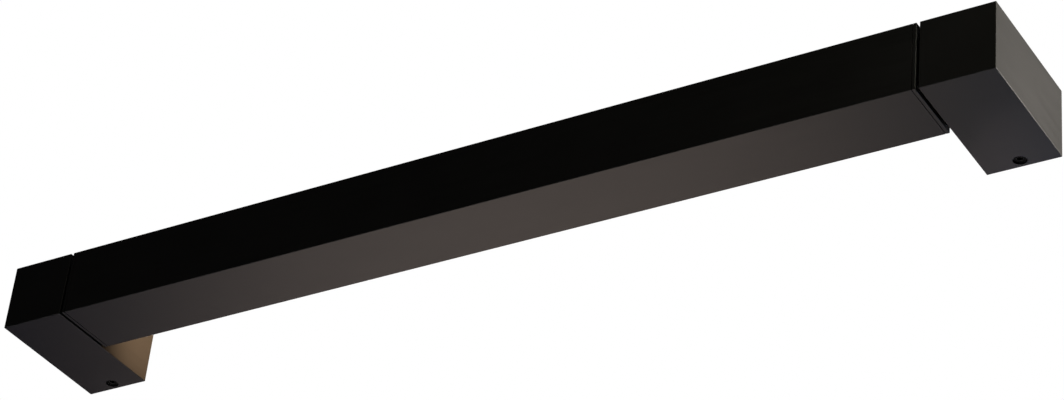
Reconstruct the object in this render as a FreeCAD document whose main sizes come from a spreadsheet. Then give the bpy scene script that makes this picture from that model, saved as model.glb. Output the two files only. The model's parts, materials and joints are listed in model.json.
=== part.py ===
import FreeCAD, Part
import math
import os
import re
import Sketcher

# LED strip batten: a square light bar that tilts between two arms on a wall. Millimetres, +Z up.
# The origin is on the wall plane, midway between the arms and at their mid height.
# +X runs along the bar, to the right for someone who faces it, and +Y points into the wall.
# Threads are modelled as plain cylinders at their nominal diameter.

DIMENSIONS = {
    # The envelope: two arms and the bar share one square section and are flush at the front.
    "total_length": 606,
    "profile": 40,
    "arm_depth": 80,
    "arm_gap": 1.7,
    "edge_radius": 0.3,
    # Arms.
    "arm_wall": 2.5,
    "screw_boss_depth": 11,
    "screw_boss_height": 3.5,
    "retaining_inset": 5.3,
    "counterbore_radius": 3.7,
    "counterbore_depth": 4.4,
    "screw_clearance_radius": 2.2,
    "pivot_boss_radius": 12,
    "pivot_boss_depth": 5,
    "stop_groove_depth": 1.5,
    "stop_groove_radius": 13,
    "stop_groove_half": 1.8,
    # Wall brackets.
    "bracket_thickness": 3,
    "bracket_side_gap": 0.3,
    "bracket_top_gap": 0.2,
    "bracket_low_gap": 0.1,
    "bracket_corner": 1.5,
    "lug_half_width": 5,
    "lug_height": 5.9,
    "tongue_half_width": 15,
    "tongue_reach": 36,
    "wall_hole_across": 12.5,
    "wall_hole_up": 9.5,
    "wall_hole_radius": 2.2,
    "cable_hole_radius": 5.5,
    "cable_hole_up": 2,
    # Retaining screws, M4 with a socket head.
    "retaining_head_radius": 3.5,
    "retaining_head_height": 3.5,
    "retaining_thread_radius": 2,
    "retaining_tip": 9,
    "socket_flats": 3,
    "socket_depth": 2,
    "head_bevel": 0.35,
    "thread_gap": 0.03,
    # Grommet and blanking plug.
    "grommet_gap": 0.05,
    "grommet_bore_radius": 3.5,
    "grommet_flange_radius": 7.5,
    "grommet_flange": 1,
    "grommet_round": 0.4,
    # Terminal block, on the underside of the right tongue.
    "block_half_width": 8.7,
    "block_near": 13,
    "block_far": 29,
    "block_low": 2.3,
    "block_gap": 0.05,
    "pole_pitch": 5.8,
    "pole_up": 6,
    "wire_hole_radius": 1.3,
    "wire_hole_depth": 5,
    "terminal_inset": 3,
    "terminal_hole_radius": 1.6,
    "terminal_screw_radius": 1.5,
    "terminal_screw_length": 2.4,
    "terminal_recess": 0.25,
    "slot_width": 0.5,
    "slot_half_length": 1.6,
    "slot_depth": 0.7,
    "block_screw_radius": 1.5,
    "block_screw_hole": 1.6,
    "block_screw_head_radius": 2.6,
    "block_screw_head": 1.8,
    # The lead inside the arm and its three cores.
    "lead_radius": 2.7,
    "lead_twist_gap": 0.05,
    "arm_lead_turn": 288,
    "arm_lead_end": 44.5,
    "arm_lead_bend": 9.5,
    "clamp_near": 45.5,
    "clamp_far": 48.5,
    "clamp_half_height": 4.5,
    "clamp_inner": 284,
    "clamp_gap": 0.05,
    "core_radius": 0.9,
    "core_offset": 1.3,
    "core_straight": 41.5,
    "core_level": 31.5,
    "core_end": 26.5,
    # Pivot: a hollow spindle clamped through a flanged bush.
    "spindle_radius": 5,
    "spindle_bore_radius": 3.5,
    "spindle_head_flats": 14,
    "spindle_head": 3,
    "spindle_reach": 14,
    "spindle_bevel": 0.5,
    "running_gap": 0.05,
    "bush_radius": 7,
    "bush_press_gap": 0.02,
    "bush_flange_radius": 10.5,
    "bush_flange": 0.8,
    "face_gap": 0.1,
    "washer_radius": 10,
    "washer_thickness": 1,
    "washer_bore_radius": 5.1,
    "spring_outer_radius": 9.5,
    "spring_thickness": 0.8,
    "spring_rise": 0.75,
    "nut_height": 5,
    "nut_start": 7.7,
    "stop_pin_radius": 1.48,
    "stop_pin_tip": 1.2,
    # Light bar housing, seen along its length.
    "bar_wall": 1.8,
    "cap_thickness": 1.8,
    "gasket_thickness": 0.4,
    "web_low": 8.5,
    "web_high": 10.5,
    "ledge_low": 16.6,
    "ledge_high": 17.4,
    "ledge_half_opening": 15.6,
    "groove_high": 19,
    "groove_half_width": 18.6,
    "lip_half_opening": 17,
    "port_across": 15.4,
    "port_up": 13.5,
    "port_down": 15.4,
    "port_radius": 2.9,
    "cap_screw_radius": 1.5,
    "rib_low": 11.4,
    "rib_thickness": 1,
    "rib_reach": 2.2,
    "lead_hole_radius": 2,
    "lead_hole_across": 10.2,
    # Diffuser.
    "diffuser_base_half": 18.4,
    "diffuser_low": 17.5,
    "diffuser_shoulder": 18.9,
    "diffuser_face_half": 16.9,
    "diffuser_high": 19.9,
    # End caps, gaskets and their screws.
    "gasket_half": 19.6,
    "gasket_opening_half": 12,
    "gasket_hole_radius": 1.8,
    "countersink_radius": 2.75,
    "countersink_depth": 1.2,
    "countersink_gap": 0.05,
    "cap_hole_radius": 1.6,
    "cap_screw_length": 8,
    "cap_screw_flats": 2,
    "cap_screw_socket": 1,
    # LED boards.
    "board_inner": 1,
    "board_outer": 255,
    "board_half_width": 8,
    "pad_thickness": 0.3,
    "board_thickness": 1.6,
    "chip_count": 50,
    "chip_pitch": 10,
    "chip_length": 2.8,
    "chip_width": 3.5,
    "chip_height": 0.8,
    "resistor_count": 10,
    "resistor_pitch": 50,
    "resistor_length": 2,
    "resistor_width": 1.25,
    "resistor_height": 0.5,
    "resistor_across": 4.5,
    "board_screw_first": 40,
    "board_screw_pitch": 90,
    "board_screw_head_radius": 2.5,
    "board_screw_head": 1.8,
    "connector_half_length": 3.2,
    "connector_near": 2.2,
    "connector_far": 7.6,
    "connector_height": 3.6,
    "connector_hole_radius": 0.9,
    "connector_hole_depth": 3,
    # Gear tray and LED driver.
    "tray_start": 40,
    "tray_end": 258.5,
    "tray_half_width": 18,
    "tray_low": 12.45,
    "tray_thickness": 1,
    "driver_start": 60,
    "driver_end": 230,
    "driver_half_width": 13,
    "driver_height": 15,
    "driver_wall": 1.2,
    "cover_thickness": 1.6,
    "cover_lead_gap": 0.2,
    "driver_screw_inset": 5,
    "driver_screw_head_radius": 2.6,
    "driver_screw_head": 1.4,
    "driver_screw_length": 3,
    "driver_board_gap": 3.2,
    "driver_board_margin": 4,
    "driver_board_half_width": 11.5,
    "transformer_start": 150,
    "transformer_length": 20,
    "transformer_half_width": 8,
    "transformer_height": 8.5,
    "capacitor_radius": 4,
    "capacitor_height": 8,
    "capacitor_start": 90,
    "capacitor_pitch": 12,
    "capacitor_count": 4,
    # Leads inside the bar.
    "bar_lead_start": 230.1,
    "output_radius": 0.8,
    "output_start": 62,
    "output_upper": 3,
    "output_lower": 5.3,
    "output_offset": 1,
    "output_level": 14.2,
    "output_end": 5.6,
}

SIDES = {"left": -1, "right": 1}
PLANES = {"X": "YZ_Plane", "Y": "XZ_Plane", "Z": "XY_Plane"}
TOLERANCE = 0.001
BEND_SHARE = 0.45

# Positions used by more than one piece, as expressions of the sheet.
HALF = "(profile / 2)"
FRONT = "(-arm_depth)"
AXIS_Y = "(profile / 2 - arm_depth)"
ARM_OUT = "(total_length / 2)"
ARM_IN = "(total_length / 2 - profile)"
ARM_MID = "(total_length / 2 - profile / 2)"
ARM_FLOOR = "(profile / 2 - arm_wall)"
BOSS_END = f"({ARM_IN} + pivot_boss_depth)"
BOSS_TOP = f"(screw_boss_height - {ARM_FLOOR})"
HEAD_SEAT = f"(counterbore_depth - {HALF})"
BRACKET_LOW = f"({BOSS_TOP} + bracket_low_gap)"
BRACKET_TOP = f"({ARM_FLOOR} - bracket_top_gap)"
TONGUE_LOW = f"({BRACKET_TOP} - bracket_thickness)"
CAP_OUT = f"({ARM_IN} - arm_gap)"
CAP_IN = f"({CAP_OUT} - cap_thickness)"
HOUSING_END = f"({CAP_IN} - gasket_thickness)"
SPINDLE_END = f"({ARM_IN} + spindle_reach)"
BAR_INNER = "(profile / 2 - bar_wall)"
BOARD_LOW = "(web_high + pad_thickness)"
BOARD_TOP = f"({BOARD_LOW} + board_thickness)"
TRAY_TOP = "(tray_thickness - tray_low)"
DRIVER_TOP = f"({TRAY_TOP} + driver_height)"
DRIVER_BOARD_LOW = f"({TRAY_TOP} + driver_board_gap)"
DRIVER_BOARD_TOP = f"({DRIVER_BOARD_LOW} + board_thickness)"
SLEEVE_RADIUS = "(spindle_radius + running_gap)"

doc = FreeCAD.newDocument("led_strip_batten")
sheet = doc.addObject("Spreadsheet::Sheet", "dims")
for row, (alias, size) in enumerate(DIMENSIONS.items(), 1):
    sheet.set(f"A{row}", alias)
    sheet.set(f"B{row}", str(size))
    sheet.setAlias(f"B{row}", alias)
doc.recompute()


def bound(text):
    """The expression with each dimension's name pointing at its cell."""
    return re.sub(r"[a-z]\w*", lambda found: cell(found.group(0)), str(text))


def cell(word):
    """A dimension's cell, or the word itself where it is a function of the sheet."""
    return f"dims.{word}" if word in DIMENSIONS else word


def value(text):
    """What the expression comes to."""
    return float(sheet.evalExpression(bound(text)))


def point(*texts):
    """A point whose coordinates are expressions."""
    return FreeCAD.Vector(*[value(text) for text in texts])


def minus(text):
    return f"(-({text}))"


def span(side, near, far):
    """Low and high X of a stretch that lies from near to far out on one side of the middle."""
    return (near, far) if side > 0 else (minus(far), minus(near))


def on_side(side, text):
    return text if side > 0 else minus(text)


def bar_y(text):
    """A Y in the room from one measured from the bar's own axis."""
    return f"({AXIS_Y} + ({text}))"


def fix(sketch, kind, where, size):
    """Dimension a sketch, so that it follows the sheet."""
    number = sketch.addConstraint(Sketcher.Constraint(kind, *where, value(size)))
    sketch.setExpression(f"Constraints[{number}]", bound(size))


def fix_point(sketch, edge, end, across, up):
    fix(sketch, "DistanceX", (-1, 1, edge, end), across)
    fix(sketch, "DistanceY", (-1, 1, edge, end), up)


def polygon(*corners):
    """An outline of straight lines through the corners."""

    def draw(sketch):
        ends = [point(across, up, "0") for across, up in corners]
        edges = [
            sketch.addGeometry(Part.LineSegment(start, stop))
            for start, stop in zip(ends, ends[1:] + ends[:1])
        ]
        for edge, following in zip(edges, edges[1:] + edges[:1]):
            sketch.addConstraint(Sketcher.Constraint("Coincident", edge, 2, following, 1))
        for edge, (across, up) in zip(edges, corners):
            fix_point(sketch, edge, 1, across, up)

    return draw


def rectangle(left, right, low, high):
    return polygon((left, low), (right, low), (right, high), (left, high))


def hexagon(across, up, flats):
    """A hexagon with two flats facing along the first axis."""
    side_half = f"({flats}) / (2 * sqrt(3))"
    tip = f"({flats}) / sqrt(3)"
    return polygon(
        (f"{across} + ({flats}) / 2", f"{up} - {side_half}"),
        (f"{across} + ({flats}) / 2", f"{up} + {side_half}"),
        (across, f"{up} + {tip}"),
        (f"{across} - ({flats}) / 2", f"{up} + {side_half}"),
        (f"{across} - ({flats}) / 2", f"{up} - {side_half}"),
        (across, f"{up} - {tip}"),
    )


def circle(across, up, radius):
    def draw(sketch):
        shape = Part.Circle(point(across, up, "0"), FreeCAD.Vector(0, 0, 1), value(radius))
        edge = sketch.addGeometry(shape)
        fix_point(sketch, edge, 3, across, up)
        fix(sketch, "Radius", (edge,), radius)

    return draw


def half_ring(across, radius, half_width):
    """A round-ended groove that goes half way round, open towards the first axis."""

    def arc(sketch, up, size, start, stop):
        centre = Part.Circle(point(across, up, "0"), FreeCAD.Vector(0, 0, 1), value(size))
        turn = math.pi / 2
        return sketch.addGeometry(Part.ArcOfCircle(centre, start * turn, stop * turn))

    def draw(sketch):
        outer = arc(sketch, "0", f"{radius} + {half_width}", 1, 3)
        inner = arc(sketch, "0", f"{radius} - {half_width}", 1, 3)
        upper = arc(sketch, radius, half_width, -1, 1)
        lower = arc(sketch, minus(radius), half_width, -1, 1)
        joins = ((outer, 1, upper, 2), (inner, 1, upper, 1), (outer, 2, lower, 1), (inner, 2, lower, 2))
        for join in joins:
            sketch.addConstraint(Sketcher.Constraint("Coincident", *join))
        for edge, size in ((outer, f"{radius} + {half_width}"), (inner, f"{radius} - {half_width}")):
            fix_point(sketch, edge, 3, across, "0")
            fix(sketch, "Radius", (edge,), size)
            fix(sketch, "DistanceX", (-1, 1, edge, 1), across)
            fix(sketch, "DistanceX", (-1, 1, edge, 2), across)
        for edge in (upper, lower):
            fix(sketch, "DistanceX", (-1, 1, edge, 3), across)

    return draw


class Piece:
    """One physical piece: a body whose sketches and lengths follow the sheet."""

    def __init__(self, label):
        self.label = label
        self.body = doc.addObject("PartDesign::Body", label)
        self.body.Label = label
        self.body.AllowCompound = True

    def origin(self, role):
        return next(item for item in self.body.Origin.OriginFeatures if item.Role == role)

    def sketch(self, axis, at, outlines):
        """Outlines on the plane square to the axis, at a distance along the plane's normal."""
        sketch = self.body.newObject("Sketcher::SketchObject", f"{self.label}_outline")
        sketch.AttachmentSupport = (self.origin(PLANES[axis]), "")
        sketch.MapMode = "FlatFace"
        sketch.setExpression("AttachmentOffset.Base.z", bound(at))
        for draw in outlines:
            draw(sketch)
        return sketch

    def add(self, axis, start, end, *outlines, taper="0"):
        """Extrude outlines from start to end. The Y axis's plane faces -Y, so it starts at end."""
        at = minus(end) if axis == "Y" else start
        pad = self.body.newObject("PartDesign::Pad", f"{self.label}_pad")
        pad.Profile = self.sketch(axis, at, outlines)
        pad.setExpression("Length", bound(f"({end}) - ({start})"))
        pad.setExpression("TaperAngle", bound(taper))
        self.finish(pad, 1)
        return pad

    def cut(self, axis, start, end, *outlines, taper="0", reverse=False):
        """Cut outlines from end back to start, or from start on to end where reversed."""
        at = end
        if axis == "Y" or reverse:
            at = minus(start) if axis == "Y" else start
        pocket = self.body.newObject("PartDesign::Pocket", f"{self.label}_pocket")
        pocket.Profile = self.sketch(axis, at, outlines)
        pocket.Reversed = reverse
        pocket.setExpression("Length", bound(f"({end}) - ({start})"))
        pocket.setExpression("TaperAngle", bound(taper))
        self.finish(pocket, -1)

    def turn(self, *corners):
        """Revolve an outline about the pivot axis. The corners are distances along it and out from it."""
        sketch = self.sketch("Z", "0", ())
        sketch.setExpression("AttachmentOffset.Base.y", bound(AXIS_Y))
        polygon(*corners)(sketch)
        ring = self.body.newObject("PartDesign::Revolution", f"{self.label}_ring")
        ring.Profile = sketch
        ring.ReferenceAxis = (sketch, ["H_Axis"])
        self.finish(ring, 1)

    def repeat(self, feature, pitch, count):
        """Repeat a feature along X."""
        pattern = self.body.newObject("PartDesign::LinearPattern", f"{self.label}_pattern")
        pattern.Originals = [feature]
        pattern.Direction = (self.origin("X_Axis"), [""])
        pattern.Mode = "Spacing"
        pattern.setExpression("Offset", bound(pitch))
        pattern.setExpression("Occurrences", bound(count))
        self.body.Tip = pattern
        self.finish(pattern, 1)

    def finish(self, feature, direction):
        """Recompute, and stop if the feature didn't add or take away material as it should."""
        before = getattr(self, "volume", 0)
        doc.recompute()
        self.volume = self.body.Shape.Volume
        if (self.volume - before) * direction <= TOLERANCE:
            raise RuntimeError(f"{feature.Name} changed the volume from {before} to {self.volume}")

    def dress(self, kind, size_name, size, chosen):
        """Round or bevel the chosen edges."""
        tip = self.body.Tip
        names = [f"Edge{number}" for number, edge in enumerate(tip.Shape.Edges, 1) if chosen(edge)]
        if not names:
            raise RuntimeError(f"{self.label}: no edge was chosen")
        feature = self.body.newObject(f"PartDesign::{kind}", f"{self.label}_{kind.lower()}")
        feature.Base = (tip, names)
        feature.setExpression(size_name, bound(size))
        self.finish(feature, -1)

    def round_edges(self, size, chosen):
        self.dress("Fillet", "Radius", size, chosen)

    def bevel_edges(self, size, chosen):
        self.dress("Chamfer", "Size", size, chosen)


def near(number, text):
    return abs(number - value(text)) < TOLERANCE


def on_planes(wanted, **planes):
    """Chooses edges that lie on at least so many of the planes, given as x=[...], y=[...], z=[...]."""

    def chosen(edge):
        box = edge.BoundBox
        flat = {"x": (box.XMin, box.XMax), "y": (box.YMin, box.YMax), "z": (box.ZMin, box.ZMax)}
        hits = [
            axis
            for axis, places in planes.items()
            if any(near(flat[axis][0], place) and near(flat[axis][1], place) for place in places)
        ]
        return len(hits) >= wanted

    return chosen


def ring_edge(axis, place, radius):
    """Chooses round edges of one radius on one plane."""

    def chosen(edge):
        box = edge.BoundBox
        low, high = {"X": (box.XMin, box.XMax), "Y": (box.YMin, box.YMax), "Z": (box.ZMin, box.ZMax)}[axis]
        if not isinstance(edge.Curve, Part.Circle):
            return False
        return near(low, place) and near(high, place) and near(edge.Curve.Radius, radius)

    return chosen


def arm(side, name):
    """A box arm, open at the wall, with a screw boss at the wall and a pivot boss on the bar's side."""
    piece = Piece(f"{name}_arm")
    piece.add("X", *span(side, ARM_IN, ARM_OUT), rectangle(FRONT, "0", minus(HALF), HALF))
    piece.cut(
        "X",
        *span(side, f"{ARM_IN} + arm_wall", f"{ARM_OUT} - arm_wall"),
        rectangle(f"{FRONT} + arm_wall", "0", minus(ARM_FLOOR), ARM_FLOOR),
    )
    inside = span(side, f"{ARM_IN} + arm_wall", f"{ARM_OUT} - arm_wall")
    piece.add("Z", minus(ARM_FLOOR), BOSS_TOP, rectangle(*inside, "-screw_boss_depth", "0"))
    pivot_boss = circle(AXIS_Y, "0", "pivot_boss_radius")
    piece.add("X", *span(side, f"{ARM_IN} + arm_wall", BOSS_END), pivot_boss)
    middle = on_side(side, ARM_MID)
    screw = (middle, "-retaining_inset")
    piece.cut("Z", minus(HALF), HEAD_SEAT, circle(*screw, "counterbore_radius"))
    piece.cut("Z", HEAD_SEAT, BOSS_TOP, circle(*screw, "screw_clearance_radius"))
    piece.cut("X", *span(side, ARM_IN, BOSS_END), circle(AXIS_Y, "0", "bush_radius"))
    groove = half_ring(AXIS_Y, "stop_groove_radius", "stop_groove_half")
    piece.cut("X", *span(side, ARM_IN, f"{ARM_IN} + stop_groove_depth"), groove)
    outer = {"x": span(side, ARM_IN, ARM_OUT), "y": [FRONT], "z": [HALF, minus(HALF)]}
    piece.round_edges("edge_radius", on_planes(2, **outer))


def wall_bracket(side, name):
    """A wall plate with a threaded lug for the retaining screw and a tongue that carries the arm."""
    piece = Piece(f"{name}_wall_bracket")
    middle = on_side(side, ARM_MID)
    half_width = f"({ARM_FLOOR} - bracket_side_gap)"
    sides = (f"{middle} - {half_width}", f"{middle} + {half_width}")
    piece.add("Y", "-bracket_thickness", "0", rectangle(*sides, BRACKET_LOW, BRACKET_TOP))
    piece.round_edges("bracket_corner", on_planes(2, x=sides, z=[BRACKET_LOW, BRACKET_TOP]))
    lug_sides = (f"{middle} - lug_half_width", f"{middle} + lug_half_width")
    lug = rectangle(*lug_sides, "-screw_boss_depth", "-bracket_thickness")
    piece.add("Z", BRACKET_LOW, f"{BRACKET_LOW} + lug_height", lug)
    tongue_sides = (f"{middle} - tongue_half_width", f"{middle} + tongue_half_width")
    tongue = rectangle(*tongue_sides, "-tongue_reach", "-bracket_thickness")
    piece.add("Z", TONGUE_LOW, BRACKET_TOP, tongue)
    thread = circle(middle, "-retaining_inset", "retaining_thread_radius")
    piece.cut("Z", BRACKET_LOW, f"{BRACKET_LOW} + lug_height", thread)
    block_thread = circle(middle, "-(block_near + block_far) / 2", "block_screw_radius")
    piece.cut("Z", TONGUE_LOW, BRACKET_TOP, block_thread)
    wall_holes = [
        circle(f"{middle} + {across} * wall_hole_across", f"{up} * wall_hole_up", "wall_hole_radius")
        for across in (-1, 1)
        for up in (-1, 1)
    ]
    piece.cut("Y", "-bracket_thickness", "0", *wall_holes)
    piece.cut("Y", "-bracket_thickness", "0", circle(middle, "cable_hole_up", "cable_hole_radius"))


def arm_retaining_screws():
    """The socket screws that go up through each arm into its bracket's lug."""
    piece = Piece("arm_retaining_screws")
    head_low = f"({HEAD_SEAT} - retaining_head_height)"
    places = [(on_side(side, ARM_MID), "-retaining_inset") for side in SIDES.values()]
    piece.add("Z", head_low, HEAD_SEAT, *[circle(*place, "retaining_head_radius") for place in places])
    shank = "retaining_thread_radius - thread_gap"
    piece.add("Z", HEAD_SEAT, "-retaining_tip", *[circle(*place, shank) for place in places])
    sockets = [hexagon(*place, "socket_flats") for place in places]
    piece.cut("Z", head_low, f"{head_low} + socket_depth", *sockets)
    piece.bevel_edges("head_bevel", ring_edge("Z", head_low, "retaining_head_radius"))


def plate_plug(label, side):
    """A soft flanged plug that fills a bracket's cable hole."""
    piece = Piece(label)
    centre = (on_side(side, ARM_MID), "cable_hole_up")
    piece.add("Y", "-bracket_thickness", "0", circle(*centre, "cable_hole_radius - grommet_gap"))
    inner_face = "-(bracket_thickness + grommet_flange)"
    piece.add("Y", inner_face, "-bracket_thickness", circle(*centre, "grommet_flange_radius"))
    piece.round_edges("grommet_round", ring_edge("Y", inner_face, "grommet_flange_radius"))
    return piece, centre, inner_face


def blanking_plug():
    plate_plug("blanking_plug", SIDES["left"])


def supply_grommet():
    piece, centre, inner_face = plate_plug("supply_grommet", SIDES["right"])
    piece.cut("Y", inner_face, "0", circle(*centre, "grommet_bore_radius"))


def pole_places():
    """The X of each pole of the terminal block, from the live one to the earth one."""
    return [f"({ARM_MID} + {step} * pole_pitch)" for step in (-1, 0, 1)]


def terminal_places():
    """X and Y of the six terminal screws."""
    rows = ("-(block_far - terminal_inset)", "-(block_near + terminal_inset)")
    return [(place, row) for place in pole_places() for row in rows]


def terminal_block():
    piece = Piece("terminal_block")
    sides = (f"{ARM_MID} - block_half_width", f"{ARM_MID} + block_half_width")
    top = f"({TONGUE_LOW} - block_gap)"
    piece.add("Z", "block_low", top, rectangle(*sides, "-block_far", "-block_near"))
    wires = [circle(place, "pole_up", "wire_hole_radius") for place in pole_places()]
    piece.cut("Y", "-block_far", "-(block_far - wire_hole_depth)", *wires)
    piece.cut("Y", "-(block_near + wire_hole_depth)", "-block_near", *wires)
    screws = [circle(*place, "terminal_hole_radius") for place in terminal_places()]
    piece.cut("Z", "block_low", "pole_up", *screws)
    fixing = circle(ARM_MID, "-(block_near + block_far) / 2", "block_screw_hole")
    piece.cut("Z", "block_low", top, fixing)


def terminal_screws():
    """Slotted screws that clamp each wire from below."""
    piece = Piece("terminal_screws")
    places = terminal_places()
    low = "(block_low + terminal_recess)"
    high = f"{low} + terminal_screw_length"
    piece.add("Z", low, high, *[circle(*place, "terminal_screw_radius") for place in places])
    slots = [
        rectangle(
            f"{across} - slot_width / 2",
            f"{across} + slot_width / 2",
            f"{along} - slot_half_length",
            f"{along} + slot_half_length",
        )
        for across, along in places
    ]
    piece.cut("Z", low, f"{low} + slot_depth", *slots)


def block_fixing_screw():
    piece = Piece("block_fixing_screw")
    centre = (ARM_MID, "-(block_near + block_far) / 2")
    head_top = "(block_low - block_gap)"
    piece.add("Z", f"{head_top} - block_screw_head", head_top, circle(*centre, "block_screw_head_radius"))
    piece.add("Z", head_top, BRACKET_TOP, circle(*centre, "block_screw_radius - thread_gap"))
    head_low = f"{head_top} - block_screw_head"
    piece.cut("Z", head_low, f"{head_low} + slot_depth", hexagon(*centre, "socket_flats"))


def lead_clamp():
    """A saddle on the arm's outer wall that holds the lead's sheath."""
    piece = Piece("lead_clamp")
    outer = f"{ARM_OUT} - arm_wall - clamp_gap"
    body = rectangle("clamp_inner", outer, "-clamp_half_height", "clamp_half_height")
    piece.add("Y", "-clamp_far", "-clamp_near", body)
    piece.cut("Y", "-clamp_far", "-clamp_near", circle("arm_lead_turn", "0", "lead_radius + clamp_gap"))


def pivot_bush(side, name):
    """A flanged bush pressed into the arm."""
    piece = Piece(f"{name}_pivot_bush")
    flange_face = f"({ARM_IN} - bush_flange)"
    piece.add("X", *span(side, flange_face, ARM_IN), circle(AXIS_Y, "0", "bush_flange_radius"))
    piece.add("X", *span(side, ARM_IN, BOSS_END), circle(AXIS_Y, "0", "bush_radius - bush_press_gap"))
    piece.cut("X", *span(side, flange_face, BOSS_END), circle(AXIS_Y, "0", SLEEVE_RADIUS))


def spindle(side, name):
    """A hollow spindle: hexagon head inside the bar, thread inside the arm."""
    piece = Piece(f"{name}_spindle")
    head = f"({CAP_IN} - spindle_head)"
    piece.add("X", *span(side, head, CAP_IN), hexagon(AXIS_Y, "0", "spindle_head_flats"))
    piece.add("X", *span(side, CAP_IN, SPINDLE_END), circle(AXIS_Y, "0", "spindle_radius"))
    piece.cut("X", *span(side, head, SPINDLE_END), circle(AXIS_Y, "0", "spindle_bore_radius"))
    piece.bevel_edges("spindle_bevel", ring_edge("X", on_side(side, SPINDLE_END), "spindle_radius"))


def both_sides_ring(label, near_end, far_end, outer, inner):
    """A ring on the pivot axis at each end of the bar."""
    piece = Piece(label)
    for side in SIDES.values():
        stretch = span(side, near_end, far_end)
        piece.add("X", *stretch, circle(AXIS_Y, "0", outer), circle(AXIS_Y, "0", inner))


def pivot_washers():
    far_end = f"{ARM_IN} - bush_flange - face_gap"
    both_sides_ring("pivot_washers", CAP_OUT, far_end, "bush_flange_radius", "washer_bore_radius")


def thrust_washers():
    start = f"({BOSS_END} + running_gap)"
    end = f"{start} + washer_thickness"
    both_sides_ring("thrust_washers", start, end, "washer_radius", "washer_bore_radius")


def disc_springs():
    """A dished washer at each end, its rim on the thrust washer and its bore under the nut."""
    piece = Piece("disc_springs")
    rim = f"({BOSS_END} + 2 * running_gap + washer_thickness)"
    bore = f"({rim} + spring_rise)"
    for side in SIDES.values():
        places = [
            (rim, "spring_outer_radius"),
            (f"{rim} + spring_thickness", "spring_outer_radius"),
            (f"{bore} + spring_thickness", "washer_bore_radius"),
            (bore, "washer_bore_radius"),
        ]
        piece.turn(*[(on_side(side, f"({along})"), out) for along, out in places])


def lock_nuts():
    piece = Piece("lock_nuts")
    start = f"({ARM_IN} + nut_start)"
    end = f"({start} + nut_height)"
    for side in SIDES.values():
        bore = circle(AXIS_Y, "0", "spindle_radius + bush_press_gap")
        piece.add("X", *span(side, start, end), hexagon(AXIS_Y, "0", "spindle_head_flats"), bore)


def stop_pins():
    """A pin through each end cap that runs in the arm's stop groove."""
    piece = Piece("stop_pins")
    pin = circle(bar_y("-stop_groove_radius"), "0", "stop_pin_radius")
    for side in SIDES.values():
        piece.add("X", *span(side, CAP_IN, f"{ARM_IN} + stop_pin_tip"), pin)


def wide(half, low, high):
    """A rectangle centred on the bar, seen along the bar."""
    return rectangle(bar_y(minus(half)), bar_y(half), low, high)


def port_places():
    """Y and Z of the four screw ports in the housing."""
    heights = ("port_up", "-port_down")
    return [(bar_y(f"{across} * port_across"), up) for across in (-1, 1) for up in heights]


def bar_housing():
    """The square extrusion: a chamber for the gear below a web, and a channel for the boards above it."""
    piece = Piece("bar_housing")
    length = (minus(HOUSING_END), HOUSING_END)
    piece.add("X", *length, wide(HALF, minus(HALF), HALF))
    piece.cut("X", *length, wide(BAR_INNER, minus(BAR_INNER), "web_low"))
    piece.cut("X", *length, wide(BAR_INNER, "web_high", "ledge_low"))
    piece.cut("X", *length, wide("ledge_half_opening", "ledge_low", "ledge_high"))
    piece.cut("X", *length, wide("groove_half_width", "ledge_high", "groove_high"))
    piece.cut("X", *length, wide("lip_half_opening", "groove_high", HALF))
    piece.add("X", *length, *[circle(*place, "port_radius") for place in port_places()])
    rib_top = "rib_thickness - rib_low"
    for edge in (-1, 1):
        outer = f"{edge} * {BAR_INNER}"
        inner = f"{edge} * ({BAR_INNER} - rib_reach)"
        low_y, high_y = (outer, inner) if edge < 0 else (inner, outer)
        piece.add("X", *length, rectangle(bar_y(low_y), bar_y(high_y), "-rib_low", rib_top))
    piece.cut("X", *length, *[circle(*place, "cap_screw_radius") for place in port_places()])
    lead_hole = circle("0", bar_y("lead_hole_across"), "lead_hole_radius")
    piece.cut("Z", "web_low", "web_high", lead_hole, *all_board_screws("cap_screw_radius"))
    corners = {"y": [FRONT, f"{FRONT} + profile"], "z": [HALF, minus(HALF)]}
    piece.round_edges("edge_radius", on_planes(2, **corners))


def diffuser():
    """The opal strip: a wide foot in the housing's grooves and a face between its lips."""
    piece = Piece("diffuser")
    length = (minus(HOUSING_END), HOUSING_END)
    piece.add("X", *length, wide("diffuser_base_half", "diffuser_low", "diffuser_shoulder"))
    piece.add("X", *length, wide("diffuser_face_half", "diffuser_shoulder", "diffuser_high"))


def end_cap(side, name):
    """The thin square plate on the end of the bar."""
    piece = Piece(f"{name}_end_cap")
    plate = span(side, CAP_IN, CAP_OUT)
    piece.add("X", *plate, wide(HALF, minus(HALF), HALF))
    piece.cut("X", *plate, circle(AXIS_Y, "0", SLEEVE_RADIUS))
    piece.cut("X", *plate, circle(bar_y("-stop_groove_radius"), "0", "stop_pin_radius + bush_press_gap"))
    piece.cut("X", *plate, *[circle(*place, "cap_hole_radius") for place in port_places()])
    sinks = [circle(*place, "countersink_radius") for place in port_places()]
    stretch = span(side, f"{CAP_OUT} - countersink_depth", CAP_OUT)
    piece.cut("X", *stretch, *sinks, taper="-45", reverse=side < 0)
    outer = {"x": [on_side(side, CAP_OUT)], "y": [FRONT, f"{FRONT} + profile"], "z": [HALF, minus(HALF)]}
    piece.round_edges("edge_radius", on_planes(2, **outer))


def end_gasket(side, name):
    """A thin seal between the housing and the end cap, a little smaller than both."""
    piece = Piece(f"{name}_end_gasket")
    stretch = span(side, HOUSING_END, CAP_IN)
    window = wide("gasket_opening_half", "-gasket_opening_half", "gasket_opening_half")
    piece.add("X", *stretch, wide("gasket_half", "-gasket_half", "gasket_half"))
    piece.cut("X", *stretch, window, *[circle(*place, "gasket_hole_radius") for place in port_places()])


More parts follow.
